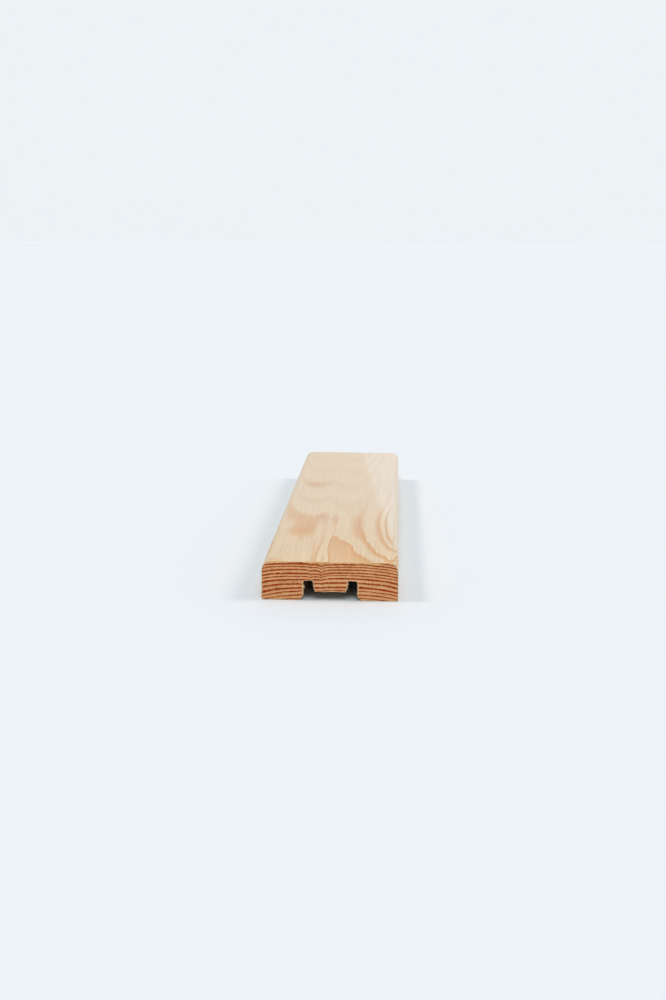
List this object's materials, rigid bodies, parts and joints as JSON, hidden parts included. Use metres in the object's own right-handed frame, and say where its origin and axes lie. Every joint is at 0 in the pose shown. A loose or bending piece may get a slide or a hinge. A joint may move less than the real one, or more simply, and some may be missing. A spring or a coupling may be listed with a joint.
{
  "type": "wooden cover strip",
  "caption": "Planed softwood cover strip with rounded upper edges, and a channel in its back with a central rib between two slots for a fixing rail.",
  "frame": {"origin": "middle of the underside, in the plane of the two soles that the strip lies on", "axes": "+X across the strip, +Y along its length, +Z from the soles to the show face"},
  "size_m": [0.068, 0.35, 0.02],
  "materials": {
    "planed_softwood": "planed, unfinished"
  },
  "bodies": {
    "root": {"cover_strip": "planed_softwood"}
  },
  "joints": []
}
